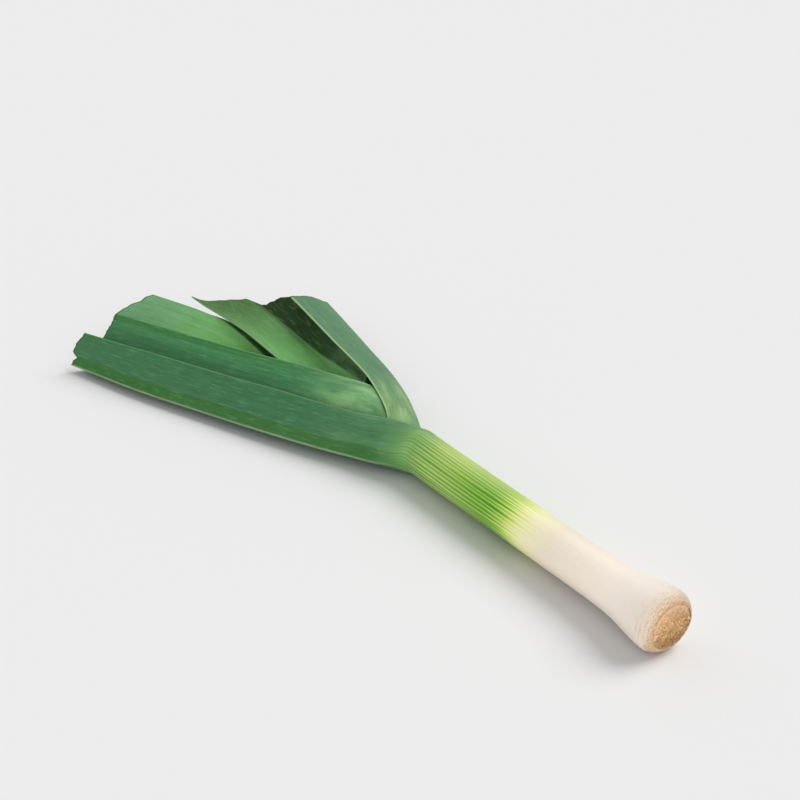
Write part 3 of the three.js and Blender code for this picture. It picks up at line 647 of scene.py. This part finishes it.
class Tree:
    """A material and short names for its nodes. A method named after a node returns its output socket."""

    def __init__(self, name):
        self.mat = bpy.data.materials.new(name)
        self.mat.use_nodes = True
        self.nt = self.mat.node_tree
        self.shader = next(n for n in self.nt.nodes if n.type == "BSDF_PRINCIPLED")

    def put(self, socket, value):
        if isinstance(value, bpy.types.NodeSocket):
            self.nt.links.new(value, socket)
        else:
            socket.default_value = value

    def node(self, kind, inputs, **settings):
        """A new node, its inputs by name or number and its own settings. Returns all its outputs."""
        n = self.nt.nodes.new("ShaderNode" + kind)
        for key, value in settings.items():
            setattr(n, key, value)
        for key, value in inputs.items():
            self.put(n.inputs[key], value)
        return n.outputs

    def shade(self, inputs):
        """Puts values and sockets on the shader's own inputs."""
        for key, value in inputs.items():
            self.put(self.shader.inputs[key], value)
        return self.mat

    def math(self, op, a, b=0.0, c=0.0):
        return self.node("Math", {0: a, 1: b, 2: c}, operation=op)[0]

    def mul(self, a, b):
        return self.math("MULTIPLY", a, b)

    def add(self, a, b):
        return self.math("ADD", a, b)

    def centred(self, noise, amount):
        """A noise of 0 to 1 turned into one about 0, amount wide."""
        return self.mul(self.math("SUBTRACT", noise, 0.5), amount)

    def step(self, x, lo, hi, out_lo=0.0, out_hi=1.0):
        inputs = {"Value": x, "From Min": lo, "From Max": hi, "To Min": out_lo, "To Max": out_hi}
        return self.node("MapRange", inputs, interpolation_type="SMOOTHSTEP")["Result"]

    def window(self, x, a, b, c, d):
        """Rises from a to b and falls from c to d."""
        return self.mul(self.step(x, a, b), self.step(x, c, d, 1.0, 0.0))

    def mix(self, a, b, fac, blend="MIX"):
        """Colour a with colour b over it. A Mix node has its colours at inputs 6 and 7 and output 2."""
        return self.node("Mix", {"Factor": fac, 6: a, 7: b}, data_type="RGBA", blend_type=blend)[2]

    def attribute(self, name):
        return self.node("Attribute", {}, attribute_name=name)["Vector"]

    def split(self, vector):
        return tuple(self.node("SeparateXYZ", {0: vector}))

    def join(self, x, y, z):
        return self.node("CombineXYZ", {0: x, 1: y, 2: z})[0]

    def noise(self, vector, scale, detail, rough):
        inputs = {"Vector": vector, "Scale": scale, "Detail": detail, "Roughness": rough}
        return self.node("TexNoise", inputs)[0]

    def cells(self, vector, scale):
        return self.node("TexVoronoi", {"Vector": vector, "Scale": scale})["Distance"]

    def bump(self, height, distance, strength):
        return self.node("Bump", {"Height": height, "Distance": distance, "Strength": strength})[0]

    def ramp(self, x, stops):
        """stops: (position 0..1, colour)"""
        n = self.nt.nodes.new("ShaderNodeValToRGB")
        self.put(n.inputs[0], x)
        el = n.color_ramp.elements
        while len(el) > 1:
            el.remove(el[0])
        el[0].position, el[0].color = stops[0]
        for pos, colour in stops[1:]:
            el.new(pos).color = colour
        return n.outputs[0]


# tones of the shank and the bulb
WORN_SKIN = srgb(190, 156, 120)
RIM_TISSUE = srgb(194, 159, 120)
CRUMB = srgb(176, 128, 88)
CHAFF = srgb(236, 222, 204)
FIRST_GREEN = srgb(206, 212, 132)
BETWEEN_STRIPES = srgb(186, 206, 112)
STRIPE = srgb(60, 124, 18)
# painted light: the upper flank of the shank's green part made lighter, where the light falls on it
PAINTED_LIGHT_FLANK = srgb(206, 214, 122)
# tones of the blades; the first three are linear, and STREAK and VEIN multiply what lies under them
STREAK = (0.62, 0.80, 0.40, 1)
VEIN = (0.50, 0.60, 0.52, 1)
FIBRE = (0.8, 0.86, 0.72, 1)
PATCH = srgb(120, 170, 128)
SCUFF = srgb(140, 184, 136)

RIB_PITCH = 2.35  # mm between the shank's ribs
RIDGE_PITCH = 1.25  # mm between the fine ridges of a blade
STRIP_EDGE = 0.012  # half the width in u over which a strip's edge fades
EVERYWHERE = (-1.2, -1.1)  # a step in u that is over before the leaf starts
SCATTERING = (1.0, 0.8, 0.4)  # red, green and blue light in a leaf
SCATTER_DEPTH = 0.003  # m
LEAF_RELIEF, LEAF_BUMP = 0.00009, 0.35  # m, share

# colours along the shank: x, colour
SHANK_FROM, SHANK_LENGTH = -20.0, 320.0
SHANK = [
    (-12, srgb(200, 160, 118)),
    (-4, srgb(204, 170, 136)),
    (0, srgb(205, 187, 166)),
    (4, srgb(210, 198, 184)),
    (10, srgb(219, 209, 198)),
    (28, srgb(228, 217, 206)),
    (44, srgb(227, 215, 202)),
    (94, srgb(218, 206, 187)),
    (106, srgb(223, 214, 184)),
    (116, srgb(220, 218, 164)),
    (126, srgb(196, 208, 114)),
    (136, srgb(138, 179, 62)),
    (146, srgb(92, 148, 36)),
    (165, srgb(106, 153, 50)),
    (185, srgb(137, 168, 78)),
    (205, srgb(135, 164, 84)),
    (222, srgb(108, 149, 80)),
    (245, srgb(88, 136, 78)),
    (280, srgb(80, 130, 76)),
]


class LeafTree(Tree):
    """A leaf's material with its coordinates and noises.

    s is mm across from the keel, x mm along, u -1 to 1 across, and inside is 1 on the inner face.
    margin and cut are the distances in mm from the free margin and from the cut end.
    """

    def __init__(self, name, seed):
        super().__init__(name)
        self.s, self.x, face = self.split(self.attribute("leaf_co"))
        self.margin, self.cut, self.u = self.split(self.attribute("leaf_rim"))
        self.inside = self.step(face, 0.45, 0.55)

        def grain(across, along, offset, detail, rough):
            """A noise with its own scale across and along the leaf."""
            place = self.join(self.mul(self.s, across), self.mul(self.x, along), seed + offset)
            return self.noise(place, 1.0, detail, rough)

        # drawn out along x, as the veins are
        self.veins = grain(1.15, 0.012, 0, 3.0, 0.6)
        self.bands = grain(0.23, 0.008, 7, 2.0, 0.5)
        self.fibre = grain(4.2, 0.05, 13, 2.0, 0.6)
        self.cloud = grain(0.10, 0.035, 19, 3.0, 0.55)
        self.mottle = grain(0.42, 0.085, 43, 4.0, 0.62)
        # as long as wide, or drawn out round the shank
        self.scuff = grain(0.50, 0.50, 29, 4.0, 0.7)
        self.wrinkle = grain(0.16, 0.75, 37, 3.0, 0.6)
        self.crumbs = grain(1.2, 1.2, 53, 3.0, 0.65)
        self.on_rim = self.step(self.add(self.x, self.centred(self.wrinkle, 8.0)), -2.5, 5.5, 1.0, 0.0)


def painted_shade_right_half(t):
    """Painted shade: 1 on the right half of the fourth leaf, past a fold line that drifts across it near
    the throat, where that half lies in shade.
    """
    fold_u, fold_x, far_drift, near_drift = 0.08, 374, 0.0018, 0.006
    far = t.math("MULTIPLY_ADD", t.x, -far_drift, fold_u + far_drift * fold_x)
    near = t.math("MULTIPLY_ADD", t.x, -near_drift, fold_u + near_drift * fold_x)
    past_fold = t.math("SUBTRACT", t.u, t.math("MAXIMUM", far, near))
    return t.mul(t.step(past_fold, -0.03, 0.06), t.step(t.x, 292, 312, 0.0, 0.88))


def painted_shadow_under_next_leaf(t):
    """Painted shadow: 1 along the third leaf's lower margin, where the fourth leaf lies over it and shades
    it.
    """
    drift, level_x = 0.00272, 390
    across = t.add(t.u, t.math("MULTIPLY_ADD", t.x, drift, -drift * level_x))
    return t.mul(t.step(across, -0.86, -0.825, 1.0, 0.0), t.step(t.x, 300, 330, 0.0, 0.92))


# fade: length past the throat over which the blade's tones take over; outer and inner a, b: tones of the
# lengthwise bands; strips: outer tone, u from and to, amount; painted_shade: dark inner tone painted where
# shade falls deep in the fan, and where it lies; tip: inner tone, length and amount at the cut end; bloom:
# wax near the throat, over bloom_u
COMMON = dict(strips=[], painted_shade=[], bloom_u=EVERYWHERE, cut=srgb(52, 70, 40), scatter=0.10)
LOOKS = {
    "leaf_1_outermost": dict(
        fade=26.0, outer_a=srgb(54, 102, 66), outer_b=srgb(48, 100, 60),
        inner_a=srgb(104, 152, 98), inner_b=srgb(94, 146, 86),
        # the pale strip along the keel is a painted highlight, floor light caught where the blade turns
        # under
        strips=[(srgb(41, 94, 33), 0.045, 0.30, 0.92), (srgb(122, 146, 102), -0.03, 0.042, 0.65)],
        tip=(srgb(84, 128, 76), 30.0, 0.3),
        bloom=srgb(112, 156, 104), bloom_length=80.0, bloom_amount=0.22, bloom_u=(0.24, 0.36),
        margin=srgb(112, 150, 98), margin_width=1.3, margin_amount=0.35, rough=0.46, gloss=0.30),
    "leaf_2_right_outer": dict(
        fade=14.0, outer_a=srgb(70, 118, 80), outer_b=srgb(62, 112, 70),
        inner_a=srgb(104, 154, 96), inner_b=srgb(92, 146, 84),
        tip=(srgb(72, 110, 60), 50.0, 0.4),
        bloom=srgb(148, 177, 116), bloom_length=74.0, bloom_amount=0.78,
        margin=srgb(156, 188, 128), margin_width=1.7, margin_amount=0.7, rough=0.48, gloss=0.22),
    "leaf_3_left_inner": dict(
        fade=12.0, outer_a=srgb(62, 118, 76), outer_b=srgb(54, 110, 66),
        inner_a=srgb(108, 164, 96), inner_b=srgb(98, 166, 76),
        strips=[(srgb(48, 104, 50), 0.80, 0.975, 0.8)],
        # painted shadow along the lower margin, under the fourth leaf
        painted_shade=[(srgb(20, 42, 14), painted_shadow_under_next_leaf)], tip=(srgb(98, 138, 108), 75.0, 0.8),
        bloom=srgb(132, 176, 118), bloom_length=72.0, bloom_amount=0.75,
        margin=srgb(112, 152, 98), margin_width=0.9, margin_amount=0.3, rough=0.46, gloss=0.24),
    "leaf_4_right_inner": dict(
        fade=12.0, outer_a=srgb(78, 126, 84), outer_b=srgb(70, 118, 74),
        inner_a=srgb(107, 165, 97), inner_b=srgb(97, 157, 87),
        # painted shade on the right half of the inner face
        painted_shade=[(srgb(24, 38, 16), painted_shade_right_half)], tip=(srgb(50, 90, 26), 110.0, 0.95),
        bloom=srgb(128, 166, 120), bloom_length=90.0, bloom_amount=0.5,
        margin=srgb(136, 176, 116), margin_width=0.9, margin_amount=0.3, rough=0.50, gloss=0.14),
    "heart_leaf": dict(
        fade=14.0, outer_a=srgb(112, 160, 92), outer_b=srgb(98, 150, 82),
        inner_a=srgb(120, 166, 96), inner_b=srgb(110, 160, 88),
        tip=(srgb(130, 170, 96), 10.0, 0.3),
        bloom=srgb(134, 172, 118), bloom_length=90.0, bloom_amount=0.5,
        margin=srgb(136, 176, 116), margin_width=0.9, margin_amount=0.6,
        cut=srgb(150, 180, 110), rough=0.44, gloss=0.30, scatter=0.12),
}


def blade_tones(t, look):
    """Both faces of the open blade: bands, strips, the tone at the tip, painted shade on the inner face,
    long streaks and patches.
    """
    bands = t.step(t.bands, 0.38, 0.62)
    outer = t.mix(look["outer_a"], look["outer_b"], bands)
    inner = t.mix(look["inner_a"], look["inner_b"], bands)
    for tone, lo, hi, amount in look["strips"]:
        mask = t.window(t.u, lo - STRIP_EDGE, lo + STRIP_EDGE, hi - STRIP_EDGE, hi + STRIP_EDGE)
        outer = t.mix(outer, tone, t.mul(mask, amount))
    tone, length, amount = look["tip"]
    inner = t.mix(inner, tone, t.step(t.cut, 0.0, length, amount, 0.0))
    # painted shade on the inner face, where it lies deep in the fan
    for tone, place in look["painted_shade"]:
        inner = t.mix(inner, tone, t.mul(place(t), t.inside))
    blade = t.mix(outer, inner, t.inside)
    blade = t.mix(blade, t.mix(blade, STREAK, 1.0, "MULTIPLY"), t.step(t.mottle, 0.50, 0.68, 0.0, 0.45))
    return t.mix(blade, t.mix(blade, PATCH, 0.5), t.step(t.mottle, 0.48, 0.34, 0.0, 0.30))


def waxy_bloom(t, look, throat):
    """How much pale wax lies on the base of the blade."""
    length = look["bloom_length"]
    near = t.window(t.x, throat - 12, throat + 4, throat + 0.4 * length, throat + length)
    near = t.mul(near, t.step(t.u, *look["bloom_u"]))
    return t.mul(near, t.step(t.cloud, 0.36, 0.66, 0.25, 1.0))


def bulb_skin(t, colour):
    """Worn rings on the bulb, root tissue that runs out under the rim, and crumbs and chaff on it."""
    colour = t.mix(colour, WORN_SKIN, t.mul(t.step(t.wrinkle, 0.48, 0.66), t.step(t.x, 1, 15, 0.45, 0.0)))
    under = t.step(t.math("ABSOLUTE", t.add(t.u, 0.22)), 0.08, 0.5, 1.0, 0.0)
    reach = t.add(t.add(t.x, t.mul(under, -4.2)), t.centred(t.wrinkle, 9.0))
    reach = t.add(reach, t.centred(t.veins, 5.0))
    colour = t.mix(colour, RIM_TISSUE, t.step(reach, OUTER_BASE, -1.6, 0.9, 0.0))
    colour = t.mix(colour, CRUMB, t.mul(t.mul(t.step(t.crumbs, 0.52, 0.62), t.on_rim), 0.65))
    return t.mix(colour, CHAFF, t.mul(t.mul(t.step(t.crumbs, 0.45, 0.36), t.on_rim), 0.6))


def green_stripes(t, colour, rib):
    """Stripes along the shank's ribs, pale where the green starts, then dark with pale tissue between, and
    painted light that makes the upper flank lighter.
    """
    first = t.mul(t.step(rib, 0.1, 0.9), t.window(t.x, 84, 106, 116, 132))
    colour = t.mix(colour, FIRST_GREEN, t.mul(first, 0.42))
    between = t.mul(t.step(rib, 0.0, -0.8), t.window(t.x, 122, 140, 205, 238))
    colour = t.mix(colour, BETWEEN_STRIPES, t.mul(between, 0.38))
    line = t.mul(t.step(rib, 0.0, 0.8), t.window(t.x, 118, 140, 205, 240))
    line = t.mul(line, t.step(t.veins, 0.34, 0.62, 0.30, 1.0))
    line = t.mul(line, t.step(t.u, 0.30, 0.72, 1.0, 0.55))
    colour = t.mix(colour, STRIPE, t.mul(line, 0.85))
    # painted light: the upper flank made lighter
    lit = t.mul(t.step(t.u, 0.45, 0.85), t.window(t.x, 112, 130, 190, 235))
    return t.mix(colour, PAINTED_LIGHT_FLANK, t.mul(lit, 0.38))


def sheath_tones(t):
    """Colours along the shank. Green reaches further down in the ribs and veins than between them."""
    rib = t.math("SINE", t.add(t.mul(t.s, 2 * math.pi / RIB_PITCH), t.centred(t.bands, 9.0)))
    pull = t.add(t.mul(rib, 5.0), t.centred(t.veins, 34.0))
    pulled = t.add(t.x, t.mul(pull, t.step(t.x, 24, 90)))
    pulled = t.add(pulled, t.step(t.u, 0.32, -0.06, 0.0, 6.0))
    stops = [((x - SHANK_FROM) / SHANK_LENGTH, colour) for x, colour in SHANK]
    colour = t.ramp(t.math("DIVIDE", t.add(pulled, -SHANK_FROM), SHANK_LENGTH), stops)
    return green_stripes(t, bulb_skin(t, colour), rib)


def veins_and_edges(t, look, throat, colour):
    """Dark veins, pale fibres and margins, the dark cut edge, and scuffs."""
    past = t.step(t.x, throat - 30, throat + 30)
    deep = t.mix(colour, VEIN, 1.0, "MULTIPLY")
    colour = t.mix(colour, deep, t.mul(t.step(t.veins, 0.50, 0.70), t.mul(past, 0.42)))
    pale = t.mix(colour, FIBRE, 0.5)
    colour = t.mix(colour, pale, t.mul(t.step(t.fibre, 0.60, 0.78), t.mul(past, 0.12)))
    rim = t.mul(t.step(t.margin, 0.2, look["margin_width"], 1.0, 0.0), look["margin_amount"])
    colour = t.mix(colour, look["margin"], rim)
    colour = t.mix(colour, look["cut"], t.step(t.cut, 0.3, 1.5, 0.85, 0.0))
    mark = t.mul(t.step(t.scuff, 0.68, 0.72), t.step(t.x, throat, throat + 30))
    mark = t.mul(mark, t.step(t.cloud, 0.44, 0.56))
    return t.mix(colour, SCUFF, t.mul(mark, t.math("MULTIPLY_ADD", t.inside, -0.4, 0.5)))


def leaf_relief(t, throat):
    """Fine ridges past the shank's foot, veins, fibres, creased skin on the bulb and crumbs on its rim."""
    ridge = t.math("SINE", t.mul(t.s, 2 * math.pi / RIDGE_PITCH))
    ridges = t.mul(ridge, t.mul(t.step(t.x, 60, throat + 10), 0.5))
    height = t.add(ridges, t.add(t.mul(t.veins, 1.6), t.mul(t.fibre, 0.5)))
    creased = t.mul(t.math("SUBTRACT", t.wrinkle, 0.5), t.step(t.x, 6, 22, 9.0, 0.0))
    height = t.add(height, t.add(creased, t.mul(t.mul(t.crumbs, t.on_rim), 3.0)))
    return t.bump(height, LEAF_RELIEF, LEAF_BUMP)


def leaf_material(name, look, throat, seed):
    t = LeafTree(name, seed)
    bloom = waxy_bloom(t, look, throat)
    blade = t.mix(blade_tones(t, look), look["bloom"], t.mul(bloom, look["bloom_amount"]))
    open_blade = t.step(t.add(t.x, t.centred(t.veins, 26.0)), throat - 2, throat + look["fade"])
    colour = veins_and_edges(t, look, throat, t.mix(sheath_tones(t), blade, open_blade))
    rough = t.add(t.mul(t.cloud, 0.16), t.add(look["rough"] - 0.08, t.mul(bloom, 0.10)))
    return t.shade({
        "Base Color": colour, "Roughness": rough, "Specular IOR Level": look["gloss"],
        "Normal": leaf_relief(t, throat), "Subsurface Weight": look["scatter"],
        "Subsurface Radius": SCATTERING, "Subsurface Scale": SCATTER_DEPTH,
    })


# tones of the root plate
TISSUE, DARK_TISSUE = srgb(212, 174, 122), srgb(186, 142, 92)
ROOT_TIP, ROOT_FOOT = srgb(230, 204, 160), srgb(138, 98, 60)
PIT, SPECK = srgb(146, 104, 62), srgb(136, 94, 64)
PLATE_RIM, PALE_CHAFF = srgb(214, 180, 146), srgb(236, 214, 190)
PAINTED_LIGHT_TOP, PAINTED_SHADE_BELOW = srgb(222, 184, 150), srgb(146, 102, 64)
PLATE_RELIEF, PLATE_BUMP = 0.0003, 0.7  # m, share


def plate_material():
    """rho is mm from the plate's centre, rise the height along a root, tone differs from root to root."""
    t = Tree("root_tissue")
    rho, rise, tone = t.split(t.attribute("root_co"))
    coord = t.node("TexCoord", {})["Object"]
    grain = t.noise(coord, 900.0, 4.0, 0.65)
    patch = t.noise(coord, 190.0, 3.0, 0.55)
    base = t.mix(TISSUE, DARK_TISSUE, t.step(patch, 0.38, 0.64))
    base = t.mix(base, ROOT_TIP, t.mul(t.step(rise, 0.45, 1.1), t.step(tone, 0.1, 0.9, 0.15, 0.75)))
    base = t.mix(base, PIT, t.mul(t.step(grain, 0.58, 0.74), 0.45))
    base = t.mix(base, ROOT_FOOT, t.step(rise, -0.5, -0.05, 0.45, 0.0))
    worn = t.add(rho, t.centred(patch, 9.0))
    base = t.mix(base, PLATE_RIM, t.step(worn, 11.6, 14.2, 0.0, 0.8))
    speck = t.mul(t.step(t.noise(coord, 420.0, 2.0, 0.5), 0.56, 0.66), t.step(rho, 6.0, 13.0))
    base = t.mix(base, SPECK, t.mul(speck, 0.55))
    chaff = t.mul(t.step(t.noise(coord, 530.0, 2.0, 0.5), 0.42, 0.34), t.step(rho, 9.0, 13.0))
    base = t.mix(base, PALE_CHAFF, t.mul(chaff, 0.6))
    _, _, height = t.split(coord)
    # painted light and shade: lighter and pinker towards the top of the plate, darker and browner towards
    # the bottom
    base = t.mix(base, PAINTED_LIGHT_TOP, t.step(height, 0.021, 0.033, 0.0, 0.55))
    base = t.mix(base, PAINTED_SHADE_BELOW, t.step(height, 0.010, 0.021, 0.6, 0.0))
    relief = t.bump(t.add(grain, t.mul(t.cells(coord, 620.0), 0.8)), PLATE_RELIEF, PLATE_BUMP)
    return t.shade({"Base Color": base, "Roughness": 0.85, "Specular IOR Level": 0.2, "Normal": relief})


# ---------------------------------------------------------------- build
SLOTS = {
    "leaf_1_outermost": "leaf_outermost",
    "leaf_2_right_outer": "leaf_right_outer",
    "leaf_3_left_inner": "leaf_left_inner",
    "leaf_4_right_inner": "leaf_right_inner",
    "heart_leaf": "leaf_heart",
}
FIRST_SEED, NEXT_SEED, HEART_SEED = 3.0, 11.0, 71.0


def dress(piece, name, throat, seed):
    """Gives a leaf its material, named from SLOTS."""
    material = leaf_material(SLOTS[name], COMMON | LOOKS[name], float(throat), seed)
    piece.data.materials.append(material)
    return piece


pieces = []
for number, (name, leaf) in enumerate(LEAVES.items()):
    pieces.append(dress(leaf_object(name), name, leaf["throat"], FIRST_SEED + NEXT_SEED * number))
pieces.append(dress(heart_object(), "heart_leaf", HEART["opens"], HEART_SEED))

plate = plate_object()
pieces.append(plate)
plate.data.materials.append(plate_material())


# ---------------------------------------------------------------- floor, light, camera
FLOOR_REACH = 6.0  # m
FLOOR_GREY = 0.92
WORLD_STRENGTH = 0.36

# the photograph: camera direction, focal length, and where the shank's root end shows, in pixels
PHOTO_PX = 800
FOCAL_PX = 1890.0
ROOT_PX = (669.5, 623.5)
AZ, EL = math.radians(232.25), math.radians(32.0)
ROOT_CENTRE = Vector((0, 0, 19.9))  # that point in the leek's frame, mm
ROOT_DISTANCE = 1077.0  # and how far off it is, mm
SENSOR = 36.0


def floor_object():
    mesh = bpy.data.meshes.new("floor")
    r = FLOOR_REACH
    mesh.from_pydata([(-r, -r, 0), (r, -r, 0), (r, r, 0), (-r, r, 0)], [], [(0, 1, 2, 3)])
    obj = bpy.data.objects.new("floor", mesh)
    scene.collection.objects.link(obj)
    grey = (FLOOR_GREY, FLOOR_GREY, FLOOR_GREY, 1)
    mesh.materials.append(Tree("floor").shade({
        "Base Color": grey, "Roughness": 0.9, "Specular IOR Level": 0.0}))
    return obj


def white_world():
    world = bpy.data.worlds.new("studio")
    world.use_nodes = True
    background = world.node_tree.nodes["Background"]
    background.inputs["Color"].default_value = (1, 1, 1, 1)
    background.inputs["Strength"].default_value = WORLD_STRENGTH
    return world


def group(name, members):
    found = bpy.data.collections.new(name)
    for obj in members:
        found.objects.link(obj)
    return found


def sun(name, towards, strength, angle, receivers):
    """A soft sun, angle degrees wide, that lights the receivers only."""
    light = bpy.data.lights.new(name, "SUN")
    light.energy = strength
    light.angle = math.radians(angle)
    obj = bpy.data.objects.new(name, light)
    obj.rotation_euler = Vector(towards).to_track_quat("Z", "Y").to_euler()
    obj.light_linking.receiver_collection = receivers
    scene.collection.objects.link(obj)


def photo_camera():
    back = Vector((math.sin(AZ) * math.cos(EL), -math.cos(AZ) * math.cos(EL), math.sin(EL)))
    right = Vector((math.cos(AZ), math.sin(AZ), 0))
    up = back.cross(right)
    across, down = ((px - PHOTO_PX / 2) / FOCAL_PX for px in ROOT_PX)
    ray = right * across - up * down - back
    data = bpy.data.cameras.new("camera")
    data.sensor_width = SENSOR
    data.lens = FOCAL_PX / PHOTO_PX * SENSOR
    data.clip_start, data.clip_end = 0.05, 20.0
    obj = bpy.data.objects.new("camera", data)
    place = Matrix((right, up, back)).transposed().to_4x4()
    place.translation = (ROOT_CENTRE - Vector(SHIFT) - ray * ROOT_DISTANCE) / 1000
    obj.matrix_world = place
    scene.collection.objects.link(obj)
    return obj


floor = floor_object()
scene.world = white_world()

# the leek: a key from behind, and a wide low fill from the camera's side
on_leek = group("on_leek", pieces)
sun("key", (0.35, -1.10, 1.25), 2.45, 60, on_leek)
sun("fill", (-0.55, 0.75, 0.35), 2.80, 80, on_leek)
# the floor: a low key and a wide soft sky, so that the shadow stays close to the leek
on_floor = group("on_floor", [floor])
sun("floor_key", (-0.20, -0.66, 0.80), 1.90, 40, on_floor)
sun("floor_sky", (0.10, -0.05, 1.0), 0.30, 150, on_floor)

scene.camera = photo_camera()
scene.view_settings.view_transform = "Standard"
scene.view_settings.look = "None"
scene.view_settings.exposure = 0.0
scene.view_settings.gamma = 1.0
